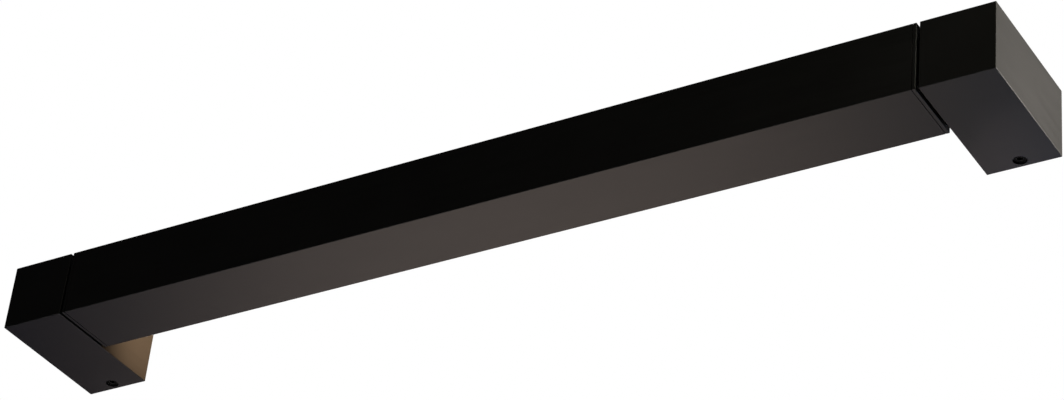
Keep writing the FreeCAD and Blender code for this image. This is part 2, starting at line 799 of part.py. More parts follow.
def end_cap_screws():
    """Countersunk screws, four at each end of the bar."""
    piece = Piece("end_cap_screws")
    head_in = f"({CAP_OUT} - countersink_depth)"
    for side in SIDES.values():
        shanks = [circle(*place, "cap_screw_radius - thread_gap") for place in port_places()]
        piece.add("X", *span(side, f"{head_in} - cap_screw_length", CAP_OUT), *shanks)
    heads = [circle(*place, "countersink_radius - countersink_gap") for place in port_places()]
    for side in SIDES.values():
        cone(piece, side, head_in, heads)
    for side in SIDES.values():
        sockets = [hexagon(*place, "cap_screw_flats") for place in port_places()]
        piece.cut("X", *span(side, f"{CAP_OUT} - cap_screw_socket", CAP_OUT), *sockets)


def cone(piece, side, head_in, outlines):
    """Countersunk heads, widest at the end cap's outer face."""
    pad = piece.body.newObject("PartDesign::Pad", f"{piece.label}_head")
    pad.Profile = piece.sketch("X", on_side(side, CAP_OUT), outlines)
    pad.Reversed = side > 0
    pad.setExpression("Length", bound("countersink_depth"))
    pad.setExpression("TaperAngle", bound("-45"))
    piece.finish(pad, 1)


def board_screw_places(side):
    """X and Y of the three screws that hold one board to the web."""
    steps = range(3)
    return [(f"{side} * (board_screw_first + {step} * board_screw_pitch)", AXIS_Y) for step in steps]


def all_board_screws(radius):
    return [circle(*place, radius) for side in SIDES.values() for place in board_screw_places(side)]


def board_strip(piece, side, low, high):
    """A strip on the web with its screw holes."""
    edges = (bar_y("-board_half_width"), bar_y("board_half_width"))
    piece.add("Z", low, high, rectangle(*span(side, "board_inner", "board_outer"), *edges))
    piece.cut("Z", low, high, *[circle(*place, "cap_hole_radius") for place in board_screw_places(side)])


def thermal_pads():
    piece = Piece("thermal_pads")
    for side in SIDES.values():
        board_strip(piece, side, "web_high", BOARD_LOW)


def led_board(side, name):
    piece = Piece(f"led_board_{name}")
    board_strip(piece, side, BOARD_LOW, BOARD_TOP)


def row_on_boards(label, count, pitch, length, width, height, across):
    """A row of small identical chips, evenly spaced over both boards."""
    piece = Piece(label)
    first = f"(-({count} - 1) / 2 * {pitch})"
    outline = rectangle(
        f"{first} - {length} / 2",
        f"{first} + {length} / 2",
        f"{bar_y(across)} - {width} / 2",
        f"{bar_y(across)} + {width} / 2",
    )
    chip = piece.add("Z", BOARD_TOP, f"{BOARD_TOP} + {height}", outline)
    piece.repeat(chip, pitch, count)


def led_chips():
    row_on_boards("led_chips", "chip_count", "chip_pitch", "chip_length", "chip_width", "chip_height", "0")


def board_resistors():
    row_on_boards(
        "board_resistors",
        "resistor_count",
        "resistor_pitch",
        "resistor_length",
        "resistor_width",
        "resistor_height",
        "resistor_across",
    )


def board_screws():
    piece = Piece("board_screws")
    places = [place for side in SIDES.values() for place in board_screw_places(side)]
    sockets = [hexagon(*place, "cap_screw_flats") for place in places]
    head_top = f"{BOARD_TOP} + board_screw_head"
    piece.add("Z", "web_low", BOARD_TOP, *all_board_screws("cap_screw_radius - thread_gap"))
    piece.add("Z", BOARD_TOP, head_top, *all_board_screws("board_screw_head_radius"))
    piece.cut("Z", f"{head_top} - cap_screw_socket", head_top, *sockets)


def board_connector():
    """The plug-in connector that joins the two boards and takes the driver's output leads."""
    piece = Piece("board_connector")
    outline = rectangle(
        "-connector_half_length", "connector_half_length", bar_y("connector_near"), bar_y("connector_far")
    )
    piece.add("Z", BOARD_TOP, f"{BOARD_TOP} + connector_height", outline)
    sockets = [circle(f"{end} * output_offset", "output_level", "connector_hole_radius") for end in (-1, 1)]
    far_face = bar_y("connector_far")
    for socket in sockets:
        piece.cut("Y", f"{far_face} - connector_hole_depth", far_face, socket)


def gear_tray():
    """A plate that slides into the housing on its lower screw ports, under the two ribs."""
    piece = Piece("gear_tray")
    edges = (bar_y("-tray_half_width"), bar_y("tray_half_width"))
    piece.add("Z", "-tray_low", TRAY_TOP, rectangle("tray_start", "tray_end", *edges))
    holes = [circle(*place, "cap_hole_radius") for place in driver_screw_places()]
    piece.cut("Z", "-tray_low", TRAY_TOP, *holes)


def driver_screw_places():
    return [("driver_start + driver_screw_inset", AXIS_Y), ("driver_end - driver_screw_inset", AXIS_Y)]


def driver_case():
    """The LED driver's case, a box section with open ends."""
    piece = Piece("driver_case")
    edges = (bar_y("-driver_half_width"), bar_y("driver_half_width"))
    piece.add("X", "driver_start", "driver_end", rectangle(*edges, TRAY_TOP, DRIVER_TOP))
    hollow = rectangle(
        bar_y("driver_wall - driver_half_width"),
        bar_y("driver_half_width - driver_wall"),
        f"{TRAY_TOP} + driver_wall",
        f"{DRIVER_TOP} - driver_wall",
    )
    piece.cut("X", "driver_start", "driver_end", hollow)
    holes = [circle(*place, "cap_screw_radius") for place in driver_screw_places()]
    piece.cut("Z", TRAY_TOP, f"{TRAY_TOP} + driver_wall", *holes)


def output_levels():
    """Z of the two output leads where they run along the bar."""
    return ("-output_upper", "-output_lower")


def driver_end_covers():
    """Snap-in covers on the driver's ends, with holes for the supply lead and the output leads."""
    piece = Piece("driver_end_covers")
    edges = (bar_y("-driver_half_width"), bar_y("driver_half_width"))
    plate = rectangle(*edges, TRAY_TOP, DRIVER_TOP)
    piece.add("X", "driver_start - cover_thickness", "driver_start", plate)
    piece.add("X", "driver_end", "driver_end + cover_thickness", plate)
    supply = circle(AXIS_Y, "0", "lead_radius + cover_lead_gap")
    piece.cut("X", "driver_end", "driver_end + cover_thickness", supply)
    for level in output_levels():
        hole = circle(bar_y("lead_hole_across"), level, "output_radius + cover_lead_gap")
        piece.cut("X", "driver_start - cover_thickness", "driver_start", hole)


def driver_fixing_screws():
    """Screws up through the tray into the driver's case."""
    piece = Piece("driver_fixing_screws")
    places = driver_screw_places()
    heads = [circle(*place, "driver_screw_head_radius") for place in places]
    head_low = "(-tray_low - driver_screw_head)"
    piece.add("Z", head_low, "-tray_low", *heads)
    shanks = [circle(*place, "cap_screw_radius - thread_gap") for place in places]
    piece.add("Z", "-tray_low", "-tray_low + driver_screw_length", *shanks)
    sockets = [hexagon(*place, "cap_screw_flats") for place in places]
    piece.cut("Z", head_low, f"{head_low} + cap_screw_socket / 2", *sockets)


def driver_board():
    piece = Piece("driver_board")
    ends = ("driver_start + driver_board_margin", "driver_end - driver_board_margin")
    edges = (bar_y("-driver_board_half_width"), bar_y("driver_board_half_width"))
    piece.add("Z", DRIVER_BOARD_LOW, DRIVER_BOARD_TOP, rectangle(*ends, *edges))


def driver_transformer():
    piece = Piece("driver_transformer")
    ends = ("transformer_start", "transformer_start + transformer_length")
    edges = (bar_y("-transformer_half_width"), bar_y("transformer_half_width"))
    top = f"{DRIVER_BOARD_TOP} + transformer_height"
    piece.add("Z", DRIVER_BOARD_TOP, top, rectangle(*ends, *edges))


def driver_capacitors():
    piece = Piece("driver_capacitors")
    can = circle("capacitor_start", AXIS_Y, "capacitor_radius")
    top = f"{DRIVER_BOARD_TOP} + capacitor_height"
    cans = piece.add("Z", DRIVER_BOARD_TOP, top, can)
    piece.repeat(cans, "capacitor_pitch", "capacitor_count")


def rounded_path(points, bend=None):
    """Straight runs through the points joined by tangent arcs, and the smallest arc's radius."""
    runs = [stop - start for start, stop in zip(points, points[1:])]
    edges = []
    radii = []
    start = points[0]
    for corner, before, after in zip(points[1:], runs, runs[1:]):
        half_turn = before.getAngle(after) / 2
        shorter = min(before.Length, after.Length)
        radius = bend or BEND_SHARE * shorter / math.tan(half_turn)
        back = radius * math.tan(half_turn)
        into = FreeCAD.Vector(before).normalize()
        out = FreeCAD.Vector(after).normalize()
        first = corner - into * back
        last = corner + out * back
        inward = (out - into).normalize()
        middle = corner + inward * (radius / math.cos(half_turn) - radius)
        edges.append(Part.LineSegment(start, first))
        edges.append(Part.Arc(first, middle, last))
        radii.append(radius)
        start = last
    edges.append(Part.LineSegment(start, points[-1]))
    return Part.Wire([edge.toShape() for edge in edges]), min(radii, default=0)


def lead(label, points, radius, bend=None):
    """A round lead along a path. Its sizes are read from the sheet."""
    path, smallest = rounded_path(points, bend)
    heading = points[1] - points[0]
    section = Part.Wire([Part.makeCircle(radius, points[0], heading)])
    solid = path.makePipeShell([section], True, False)
    expected = math.pi * radius**2 * path.Length
    print(f"{label}: tightest bend {smallest:.2f}, volume {solid.Volume:.2f} of {expected:.2f}")
    item = doc.addObject("Part::Feature", label)
    item.Label = label
    item.Shape = solid
    item.Placement = FreeCAD.Placement()


def arm_lead():
    """The sheathed lead from the spindle's mouth, round towards the wall, to the clamp."""
    points = [
        point(f"{SPINDLE_END} + lead_twist_gap", AXIS_Y, "0"),
        point("arm_lead_turn", AXIS_Y, "0"),
        point("arm_lead_turn", "-arm_lead_end", "0"),
    ]
    lead("arm_lead", points, value("lead_radius"), value("arm_lead_bend"))


def cores():
    """The three cores that fan out from the sheath to the terminal block."""
    shifts = {"live": ("-core_offset", "0"), "neutral": ("0", "core_offset"), "earth": ("core_offset", "0")}
    for (name, (across, up)), pole in zip(shifts.items(), pole_places()):
        start_x = f"arm_lead_turn + ({across})"
        points = [
            point(start_x, "-arm_lead_end", up),
            point(start_x, "-core_straight", up),
            point(pole, "-core_level", "pole_up"),
            point(pole, "-core_end", "pole_up"),
        ]
        lead(f"core_{name}", points, value("core_radius"))


def bar_lead():
    """The supply lead inside the bar, on the pivot axis, so that tilting only twists it."""
    ends = [point("bar_lead_start", AXIS_Y, "0"), point(SPINDLE_END, AXIS_Y, "0")]
    lead("bar_lead", ends, value("lead_radius"))


def output_leads():
    """The driver's output leads: along the chamber, up through the web, over to the connector."""
    across = bar_y("lead_hole_across")
    for name, level, end in zip(("positive", "negative"), output_levels(), (1, -1)):
        rise = f"{end} * output_offset"
        points = [
            point("output_start", across, level),
            point(rise, across, level),
            point(rise, across, "output_level"),
            point(rise, bar_y("output_end"), "output_level"),
        ]
        lead(f"output_lead_{name}", points, value("output_radius"))


def build():
    for name, side in SIDES.items():
        arm(side, name)
        wall_bracket(side, name)
        pivot_bush(side, name)
        spindle(side, name)
        end_cap(side, name)
        end_gasket(side, name)
        led_board(side, name)
    arm_retaining_screws()
    blanking_plug()
    supply_grommet()
    terminal_block()
    terminal_screws()
    block_fixing_screw()
    lead_clamp()
    pivot_washers()
    thrust_washers()
    disc_springs()
    lock_nuts()
    stop_pins()
    bar_housing()
    diffuser()
    end_cap_screws()
    thermal_pads()
    led_chips()
    board_resistors()
    board_screws()
    board_connector()
    gear_tray()
    driver_case()
    driver_end_covers()
    driver_fixing_screws()
    driver_board()
    driver_transformer()
    driver_capacitors()
    arm_lead()
    cores()
    bar_lead()
    output_leads()


def sub_parts():
    kinds = ("PartDesign::Body", "Part::Feature")
    return [item for item in doc.Objects if item.TypeId in kinds]


def check():
    """Stop if any object failed to compute or any sub-part isn't a valid solid."""
    doc.recompute()
    for item in doc.Objects:
        if "Invalid" in item.State or "Error" in item.State:
            raise RuntimeError(f"{item.Name} failed: {item.State}")
    for item in sub_parts():
        if item.Shape.isNull() or not item.Shape.isValid() or not item.Shape.Solids:
            raise RuntimeError(f"{item.Label} is not a valid solid")


def export():
    os.makedirs("parts", exist_ok=True)
    for item in sub_parts():
        item.Shape.exportStep(f"parts/{item.Label}.step")
    print(f"{len(sub_parts())} sub-parts written")


build()
check()
export()
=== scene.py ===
import json
import math

import bpy
from mathutils import Matrix, Vector


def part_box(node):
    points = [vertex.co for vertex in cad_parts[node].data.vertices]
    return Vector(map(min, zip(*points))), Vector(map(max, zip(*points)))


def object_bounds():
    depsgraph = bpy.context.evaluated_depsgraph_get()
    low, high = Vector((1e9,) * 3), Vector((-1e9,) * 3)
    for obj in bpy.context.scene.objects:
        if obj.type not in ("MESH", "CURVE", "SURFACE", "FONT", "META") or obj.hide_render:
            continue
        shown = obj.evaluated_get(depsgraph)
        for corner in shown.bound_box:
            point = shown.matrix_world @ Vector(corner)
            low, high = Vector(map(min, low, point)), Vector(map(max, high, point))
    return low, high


# LED strip batten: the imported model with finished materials, on white, lit softly. Metres.
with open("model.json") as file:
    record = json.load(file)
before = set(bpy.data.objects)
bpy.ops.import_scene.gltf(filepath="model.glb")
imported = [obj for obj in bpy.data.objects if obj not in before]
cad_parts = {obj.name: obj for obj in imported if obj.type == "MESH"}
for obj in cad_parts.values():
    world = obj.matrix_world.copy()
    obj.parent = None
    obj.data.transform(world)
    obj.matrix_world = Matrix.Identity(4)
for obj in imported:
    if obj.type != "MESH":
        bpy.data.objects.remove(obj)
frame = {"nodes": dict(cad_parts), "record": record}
CAD_LOW, CAD_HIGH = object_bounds()
CENTRE = (CAD_LOW + CAD_HIGH) / 2
RECORD = frame["record"]
NODES = frame["nodes"]
MM = 0.001

# How far apart the LED chips and the resistors sit along the bar. The shift is a whole number of pitches that
# keeps a coordinate positive, so that its remainder runs the same way on both sides of the middle.
CHIP_PITCH = 10 * MM
CHIP_SHIFT = 101 * CHIP_PITCH
RESISTOR_PITCH = 50 * MM
RESISTOR_SHIFT = 20 * RESISTOR_PITCH

# Nearly all of a noise texture's values lie between these.
NOISE_LOW = 0.3
NOISE_HIGH = 0.7
BEVEL_SAMPLES = 6
# Sockets of a colour Mix node: its two colours and its result.
MIX_COLOURS = (6, 7)
MIX_RESULT = 2

# Camera: where it stands, seen from the middle of the batten, and what it aims at.
AZIMUTH = 34.386
ELEVATION = -33.621
ROLL = 6.153
DISTANCE = 1.6014
AIM = Vector((0.0172, 0.0045, 0.0091))
LENS = 101.94
SENSOR = 36.0


class Surface:
    """A Principled material and short ways to add the nodes that vary it over the surface."""

    def __init__(self, name, colour, metallic=0.0, specular=0.5):
        self.material = bpy.data.materials.new(name)
        self.material.use_nodes = True
        self.tree = self.material.node_tree
        self.shader = self.tree.nodes["Principled BSDF"]
        self.colour = colour
        self.roughness = 0.5
        self.shader.inputs["Metallic"].default_value = metallic
        self.shader.inputs["Specular IOR Level"].default_value = specular
        self.places = self.node("ShaderNodeTexCoord").outputs["Object"]

    def node(self, kind, **settings):
        made = self.tree.nodes.new(kind)
        for name, setting in settings.items():
            setattr(made, name, setting)
        return made

    def feed(self, node, name, source):
        """Link a socket, or set its value if the source is a plain one."""
        if isinstance(source, bpy.types.NodeSocket):
            self.tree.links.new(source, node.inputs[name])
        else:
            node.inputs[name].default_value = source

    def stretched(self, stretch):
        """Object coordinates divided by the stretch, so that a pattern is longer that way."""
        mapping = self.node("ShaderNodeMapping")
        self.feed(mapping, "Vector", self.places)
        self.feed(mapping, "Scale", [1 / part for part in stretch])
        return mapping.outputs["Vector"]

    def noise(self, size, detail=2.0, stretch=(1, 1, 1), rough=0.5):
        """Soft noise whose blotches are about this size in metres, from 0 to 1."""
        texture = self.node("ShaderNodeTexNoise")
        self.feed(texture, "Vector", self.stretched(stretch))
        self.feed(texture, "Scale", 1 / size)
        self.feed(texture, "Detail", detail)
        self.feed(texture, "Roughness", rough)
        return texture.outputs["Fac"]

    def cells(self, size, output):
        """Cells of about this size in metres: a random colour each, or the distance from their middles."""
        texture = self.node("ShaderNodeTexVoronoi")
        self.feed(texture, "Vector", self.places)
        self.feed(texture, "Scale", 1 / size)
        return texture.outputs[output]

    def math(self, operation, first, second=0.0):
        made = self.node("ShaderNodeMath", operation=operation)
        self.feed(made, 0, first)
        self.feed(made, 1, second)
        return made.outputs[0]

    def spread(self, source, low, high, start=0.0, stop=1.0):
        """The source's range from start to stop, stretched to run from low to high."""
        made = self.node("ShaderNodeMapRange")
        self.feed(made, "Value", source)
        self.feed(made, "From Min", start)
        self.feed(made, "From Max", stop)
        self.feed(made, "To Min", low)
        self.feed(made, "To Max", high)
        return made.outputs["Result"]

    def vary(self, noise, low, high):
        """A noise's usual range, stretched to run from low to high."""
        return self.spread(noise, low, high, NOISE_LOW, NOISE_HIGH)

    def mix(self, share, first, second):
        made = self.node("ShaderNodeMix", data_type="RGBA")
        self.feed(made, 0, share)
        for socket, colour in zip(MIX_COLOURS, (first, second)):
            self.feed(made, socket, with_alpha(colour))
        return made.outputs[MIX_RESULT]

    def axis(self, name):
        split = self.node("ShaderNodeSeparateXYZ")
        self.feed(split, 0, self.places)
        return split.outputs[name]

    def rounded(self, radius):
        """The surface's direction as if its edges were rounded to this radius."""
        bevel = self.node("ShaderNodeBevel", samples=BEVEL_SAMPLES)
        self.feed(bevel, "Radius", radius)
        return bevel.outputs["Normal"]

    def edges(self, radius):
        """1 along the piece's edges and 0 on its flats."""
        flat = self.node("ShaderNodeNewGeometry").outputs["Normal"]
        likeness = self.node("ShaderNodeVectorMath", operation="DOT_PRODUCT")
        self.feed(likeness, 0, self.rounded(radius))
        self.feed(likeness, 1, flat)
        return self.spread(likeness.outputs["Value"], 1.0, 0.0, 0.82, 0.99)

    def soften(self, radius):
        """Shade the edges as if they were rounded to this radius, so that they catch the light."""
        self.feed(self.shader, "Normal", self.rounded(radius))

    def bump(self, height, depth, strength):
        """Relief of this depth in metres. A second call adds to the first."""
        made = self.node("ShaderNodeBump")
        self.feed(made, "Strength", strength)
        self.feed(made, "Distance", depth)
        self.feed(made, "Height", height)
        links = self.shader.inputs["Normal"].links
        if links:
            self.feed(made, "Normal", links[0].from_socket)
        self.feed(self.shader, "Normal", made.outputs["Normal"])

    def subsurface(self, weight, scale):
        self.shader.inputs["Subsurface Weight"].default_value = weight
        self.shader.inputs["Subsurface Scale"].default_value = scale

    def done(self):
        self.feed(self.shader, "Base Color", with_alpha(self.colour))
        self.feed(self.shader, "Roughness", self.roughness)
        return self.material


def with_alpha(colour):
    """A plain colour with its opacity added, or the socket that brings a colour."""
    return colour if isinstance(colour, bpy.types.NodeSocket) else (*colour, 1.0)


def tinted(colour, factor):
    return tuple(min(1.0, part * factor) for part in colour)


def anodised(name, along):
    """Satin black anodised aluminium, drawn along one axis, with its edges rubbed a little paler."""
    black = (0.0105, 0.0100, 0.0098)
    surface = Surface(name, black)
    lines = surface.noise(0.22 * MM, 2.0, along, 0.6)
    grain = surface.noise(0.3 * MM, 2.0)
    cloud = surface.noise(35 * MM, 3.0)
    drawn = surface.mix(surface.vary(lines, 0.0, 1.0), tinted(black, 0.75), tinted(black, 1.3))
    mottled = surface.mix(surface.spread(cloud, 0.0, 0.4, 0.35, 0.7), drawn, tinted(black, 1.4))
    rubbed = surface.math("MULTIPLY", surface.edges(0.3 * MM), surface.vary(cloud, 0.15, 0.6))
    surface.colour = surface.mix(rubbed, mottled, (0.030, 0.029, 0.028))
    base = surface.vary(lines, 0.365, 0.44)
    surface.roughness = surface.math("ADD", base, surface.spread(grain, -0.03, 0.03))
    surface.bump(grain, 0.008 * MM, 0.35)
    surface.bump(lines, 0.010 * MM, 0.3)
    return surface.done()


def plastic(name, colour, roughness, grain=0.25, depth=0.01, soft=0.0):
    """Moulded plastic with faint mottling, a fine spark-eroded grain and duller patches."""
    surface = Surface(name, colour)
    cloud = surface.noise(6 * MM, 3.0)
    fine = surface.noise(grain * MM, 2.0)
    surface.colour = surface.mix(surface.vary(cloud, 0.0, 1.0), tinted(colour, 0.9), tinted(colour, 1.06))
    surface.roughness = surface.vary(cloud, roughness - 0.05, roughness + 0.07)
    surface.bump(fine, depth * MM, 0.4)
    surface.subsurface(soft, 1.2 * MM)
    return surface


def rubber(name, colour):
    """Matt rubber with a fine pebble and a dusting of bloom."""
    surface = Surface(name, colour, specular=0.25)
    dust = surface.noise(2.5 * MM, 4.0)
    pebble = surface.cells(0.3 * MM, "Distance")
    surface.colour = surface.mix(surface.spread(dust, 0.0, 0.6, 0.5, 0.75), colour, tinted(colour, 2.0))
    surface.roughness = surface.vary(dust, 0.68, 0.86)
    surface.bump(pebble, 0.02 * MM, 0.5)
    return surface.done()


def zinc():
    """Zinc-plated steel: faint small spangles under soft dull patches, with brighter scuffs."""
    pale = (0.50, 0.52, 0.54)
    surface = Surface("zinc_plate", pale, metallic=1.0)
    tone = surface.node("ShaderNodeRGBToBW")
    surface.feed(tone, 0, surface.cells(0.9 * MM, "Color"))
    spangle = tone.outputs[0]
    dull = surface.noise(7 * MM, 4.0)
    scuff = surface.noise(0.12 * MM, 3.0, (30, 1, 1))
    crystals = surface.mix(spangle, tinted(pale, 0.93), tinted(pale, 1.06))
    surface.colour = surface.mix(surface.spread(dull, 0.0, 0.7, 0.4, 0.7), crystals, (0.36, 0.37, 0.38))
    matt = surface.spread(dull, 0.34, 0.5, 0.4, 0.7)
    patchy = surface.math("ADD", matt, surface.spread(spangle, -0.03, 0.03))
    surface.roughness = surface.math("SUBTRACT", patchy, surface.spread(scuff, 0.0, 0.05, 0.4, 0.75))
    surface.bump(spangle, 0.004 * MM, 0.3)
    surface.bump(scuff, 0.003 * MM, 0.3)
    return surface.done()


def steel(name, colour, roughness, edge):
    """Turned or pressed steel: fine tool marks, with the edges rubbed brighter."""
    surface = Surface(name, colour, metallic=1.0)
    marks = surface.noise(0.2 * MM, 2.0, (1, 1, 6))
    stain = surface.noise(3 * MM, 3.0)
    toned = surface.mix(surface.vary(stain, 0.0, 1.0), tinted(colour, 0.75), tinted(colour, 1.15))
    surface.colour = surface.mix(surface.math("MULTIPLY", surface.edges(0.3 * MM), 0.8), toned, edge)
    surface.roughness = surface.vary(marks, roughness - 0.06, roughness + 0.08)
    surface.soften(0.3 * MM)
    surface.bump(marks, 0.008 * MM, 0.35)
    return surface.done()


def blackened():
    """Steel under a matt black oxide, which is worn through to bright metal at the edges."""
    surface = Surface("blackened_steel", (0.004, 0.004, 0.0038), specular=0.05)
    marks = surface.noise(0.2 * MM, 2.0, (1, 1, 6))
    patches = surface.noise(1.5 * MM, 3.0)
    worn = surface.math("MULTIPLY", surface.edges(0.16 * MM), surface.spread(patches, 0.6, 1.0, 0.35, 0.6))
    oxide = surface.mix(surface.vary(patches, 0.0, 1.0), surface.colour, (0.007, 0.0068, 0.0066))
    surface.colour = surface.mix(worn, oxide, (0.75, 0.74, 0.72))
    turned = surface.vary(marks, 0.54, 0.68)
    surface.roughness = surface.math("SUBTRACT", turned, surface.spread(worn, 0.0, 0.25))
    surface.feed(surface.shader, "Metallic", worn)
    surface.soften(0.35 * MM)
    surface.bump(marks, 0.008 * MM, 0.35)
    return surface.done()


def opal():
    """Opal acrylic over the lit strip: even and milky, a little brighter over each chip."""
    milky = (0.86, 0.85, 0.82)
    surface = Surface("opal_acrylic", milky)
    flow = surface.noise(9 * MM, 2.0, (8, 1, 1))
    fine = surface.noise(0.4 * MM, 2.0)
    surface.colour = surface.mix(surface.vary(flow, 0.0, 1.0), tinted(milky, 0.96), tinted(milky, 1.02))
    surface.roughness = surface.vary(flow, 0.36, 0.45)
    surface.bump(fine, 0.006 * MM, 0.3)
    surface.subsurface(0.35, 2 * MM)
    phase = surface.math("MULTIPLY", surface.axis("X"), 2 * math.pi / CHIP_PITCH)
    wave = surface.math("COSINE", surface.math("ADD", phase, math.pi))
    over_chip = surface.spread(wave, 0.0, 1.0, -1.0, 1.0)
    across = surface.math("ABSOLUTE", surface.math("SUBTRACT", surface.axis("Y"), CHIP_LINE))
    middle = surface.spread(across, 1.0, 0.0, 0.0, 15 * MM)
    glow = surface.math("MULTIPLY", middle, surface.spread(over_chip, 0.75, 1.0))
    surface.feed(surface.shader, "Emission Color", (1.0, 0.80, 0.58, 1.0))
    surface.feed(surface.shader, "Emission Strength", surface.spread(glow, 0.10, 0.64))
    return surface.done()


def chip_face():
    """White package with a round yellow phosphor window in the middle of each chip."""
    white = (0.78, 0.78, 0.74)
    surface = Surface("led_phosphor", white)
    shifted = surface.math("ADD", surface.axis("X"), CHIP_SHIFT)
    along = surface.math("SUBTRACT", surface.math("MODULO", shifted, CHIP_PITCH), CHIP_PITCH / 2)
    across = surface.math("SUBTRACT", surface.axis("Y"), CHIP_LINE)
    squares = surface.math("ADD", surface.math("POWER", along, 2.0), surface.math("POWER", across, 2.0))
    window = surface.spread(surface.math("SQRT", squares), 1.0, 0.0, 1.1 * MM, 1.2 * MM)
    cloud = surface.noise(0.5 * MM, 2.0)
    phosphor = surface.mix(cloud, (0.72, 0.55, 0.10), (0.85, 0.68, 0.18))
    surface.colour = surface.mix(window, white, phosphor)
    surface.roughness = surface.spread(window, 0.4, 0.2)
    surface.bump(window, 0.05 * MM, 0.5)
    return surface.done()


def board(name, colour):
    """Printed board: solder mask over traces that stand up a little."""
    surface = Surface(name, colour)
    traces = surface.node("ShaderNodeTexBrick")
    surface.feed(traces, "Vector", surface.places)
    surface.feed(traces, "Scale", 1 / (6 * MM))
    surface.feed(traces, "Mortar Size", 0.06)
    surface.feed(traces, "Mortar Smooth", 0.3)
    weave = surface.noise(0.6 * MM, 2.0)
    copper = surface.spread(traces.outputs["Fac"], 1.0, 0.0)
    surface.colour = surface.mix(copper, tinted(colour, 0.82), colour)
    surface.roughness = surface.vary(weave, 0.3, 0.42)
    surface.bump(copper, 0.04 * MM, 0.5)
    surface.bump(weave, 0.01 * MM, 0.3)
    return surface.done()


def core(name, colour, stripe=None):
    """Smooth insulation with faint mottling and a fine grain, and a second colour round it where the core has
    one.
    """
    surface = plastic(name, colour, 0.35, 0.15, 0.006)
    if stripe:
        waves_per_metre = 1800.0
        diagonal = surface.math("ADD", surface.axis("X"), surface.axis("Z"))
        turn = surface.math("MULTIPLY", diagonal, waves_per_metre)
        band = surface.spread(surface.math("SINE", turn), 0.0, 1.0, 0.1, 0.3)
        surface.colour = surface.mix(band, surface.colour, stripe)
    return surface.done()


def chip_resistor():
    """Black chip with bright soldered ends."""
    surface = Surface("chip_black", (0.02, 0.02, 0.022))
    shifted = surface.math("ADD", surface.axis("X"), RESISTOR_SHIFT)
    along = surface.math("SUBTRACT", surface.math("MODULO", shifted, RESISTOR_PITCH), RESISTOR_PITCH / 2)
    ends = surface.spread(surface.math("ABSOLUTE", along), 0.0, 1.0, 0.68 * MM, 0.72 * MM)
    cloud = surface.noise(0.3 * MM, 2.0)
    solder = surface.mix(cloud, (0.5, 0.5, 0.5), (0.75, 0.75, 0.74))
    surface.colour = surface.mix(ends, surface.colour, solder)
    surface.roughness = surface.spread(cloud, 0.28, 0.45)
    surface.bump(cloud, 0.02 * MM, 0.4)
    return surface.done()


def finishes():
    """Material of each slot in the record."""
    return {
        "opal_acrylic": opal(),
        "galvanised_steel": zinc(),
        "blackened_steel": blackened(),
        "spring_steel": steel("spring_steel", (0.42, 0.42, 0.43), 0.3, (0.7, 0.7, 0.7)),
        "brass_screws": steel("brass", (0.60, 0.42, 0.16), 0.3, (0.85, 0.66, 0.35)),
        "acetal": plastic("acetal", (0.72, 0.71, 0.66), 0.42, 0.3, 0.01, 0.15).done(),
        "black_rubber": rubber("black_rubber", (0.009, 0.009, 0.009)),
        "cable_sheath": rubber("cable_sheath", (0.02, 0.02, 0.021)),
        "thermal_pad": rubber("thermal_pad", (0.33, 0.37, 0.42)),
        "terminal_nylon": plastic("terminal_nylon", (0.70, 0.70, 0.65), 0.5, 0.3, 0.012, 0.1).done(),
        "connector_white": plastic("connector_white", (0.80, 0.80, 0.76), 0.45).done(),
        "driver_casing": plastic("driver_casing", (0.78, 0.78, 0.76), 0.55, 0.5, 0.03).done(),
        "ferrite": plastic("ferrite", (0.08, 0.075, 0.07), 0.7, 0.4, 0.04).done(),
        "capacitor_sleeve": plastic("capacitor_sleeve", (0.02, 0.03, 0.09), 0.3, 0.6, 0.01).done(),
        "core_brown": core("core_brown", (0.16, 0.06, 0.03)),
        "core_blue": core("core_blue", (0.02, 0.09, 0.40)),
        "core_green_yellow": core("core_green_yellow", (0.05, 0.32, 0.06), (0.80, 0.62, 0.04)),
        "core_red": core("core_red", (0.42, 0.02, 0.02)),
        "core_black": core("core_black", (0.015, 0.015, 0.015)),
        "board_white": board("board_white", (0.82, 0.83, 0.81)),
        "board_green": board("board_green", (0.02, 0.15, 0.05)),
        "led_phosphor": chip_face(),
        "chip_black": chip_resistor(),
    }


def paint():
    """Give every node its slot's material. Extrusions get drawing lines along their own length."""
    slot_materials = finishes()
    drawn = 200
    along_bar = anodised("anodised_bar", (drawn, 1, 1))
    along_arm = anodised("anodised_arm", (1, drawn, 1))
    for part in RECORD["subparts"]:
        node, slot = part["node"], part["material_slot"]
        if slot == "black_anodised":
            material = along_arm if node.endswith("_arm") else along_bar
        else:
            material = slot_materials[slot]
        for place in NODES[node].material_slots:
            place.material = material


def heading(azimuth, elevation):
    """The direction from the batten towards a viewer at these angles, in degrees."""
    turn, rise = math.radians(azimuth), math.radians(elevation)
    return Vector((math.sin(turn) * math.cos(rise), -math.cos(turn) * math.cos(rise), math.sin(rise)))


def add_camera():
    camera = bpy.data.objects.new("camera", bpy.data.cameras.new("camera"))
    bpy.context.scene.collection.objects.link(camera)
    camera.data.lens = LENS
    camera.data.sensor_width = SENSOR
    back = heading(AZIMUTH, ELEVATION)
    level = (-back).to_track_quat("-Z", "Y").to_matrix()
    rolled = level @ Matrix.Rotation(math.radians(ROLL), 3, "Z")
    camera.matrix_world = Matrix.Translation(CENTRE + AIM + back * DISTANCE) @ rolled.to_4x4()
    camera.data.clip_start = 0.01
    camera.data.clip_end = 100
    bpy.context.scene.camera = camera


def aimed(item, place, target):
    """Stand a lamp at its place, turned to its target, and out of the camera's sight."""
    item.location = place
    item.rotation_euler = (Vector(target) - Vector(place)).to_track_quat("-Z", "Y").to_euler()
    bpy.context.scene.collection.objects.link(item)
    item.visible_camera = False


